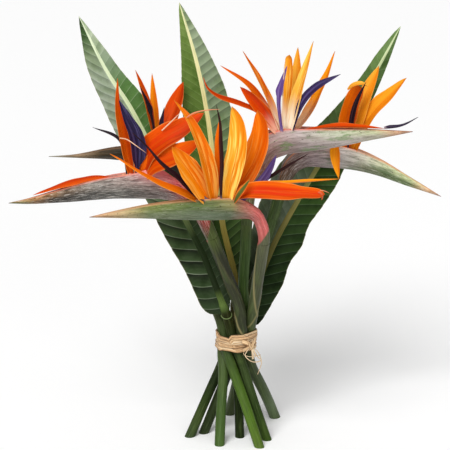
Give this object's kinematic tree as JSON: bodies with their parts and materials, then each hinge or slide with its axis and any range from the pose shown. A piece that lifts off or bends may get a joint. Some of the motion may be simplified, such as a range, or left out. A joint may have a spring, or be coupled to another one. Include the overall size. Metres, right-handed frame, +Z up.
{
  "type": "bird of paradise bouquet",
  "caption": "Upright hand-tied bunch of cut bird of paradise flowers and long leaves, spiralled stalks bound with raffia and standing on their level cut ends.",
  "frame": {"origin": "on the surface that the cut ends stand on, under the middle of the bouquet's outline", "axes": "+Z up along the stalks; the front of the bouquet looks along -Y; the flower heads spread along X"},
  "size_m": [0.4752, 0.1974, 0.4793],
  "materials": {
    "stalk": "waxy green skin",
    "spathe": "waxy grey green with pink and orange rims",
    "sepal": "satin orange with fine veins",
    "tongue": "satin violet blue",
    "leaf": "leathery green, pleated",
    "raffia": "dry matt straw"
  },
  "bodies": {
    "root": {"front_flower_stalk": "stalk", "front_flower_spathe": "spathe", "front_flower_sepals": "sepal", "front_flower_tongue_1": "tongue", "front_flower_tongue_2": "tongue", "front_flower_tongue_3": "tongue", "front_flower_tongue_4": "tongue", "left_flower_stalk": "stalk", "left_flower_spathe": "spathe", "left_flower_sepals": "sepal", "left_flower_tongue_1": "tongue", "left_flower_tongue_2": "tongue", "far_left_flower_stalk": "stalk", "far_left_flower_spathe": "spathe", "far_left_flower_sepals": "sepal", "far_left_flower_tongue_1": "tongue", "far_left_flower_tongue_2": "tongue", "upper_flower_stalk": "stalk", "upper_flower_spathe": "spathe", "upper_flower_sepals": "sepal", "upper_flower_tongue_1": "tongue", "upper_flower_tongue_2": "tongue", "upper_flower_tongue_3": "tongue", "right_flower_stalk": "stalk", "right_flower_spathe": "spathe", "right_flower_sepals": "sepal", "right_flower_tongue_1": "tongue", "left_leaf": "leaf", "middle_leaf": "leaf", "right_leaf": "leaf", "raffia_binding": "raffia", "raffia_knot": "raffia"}
  },
  "joints": []
}
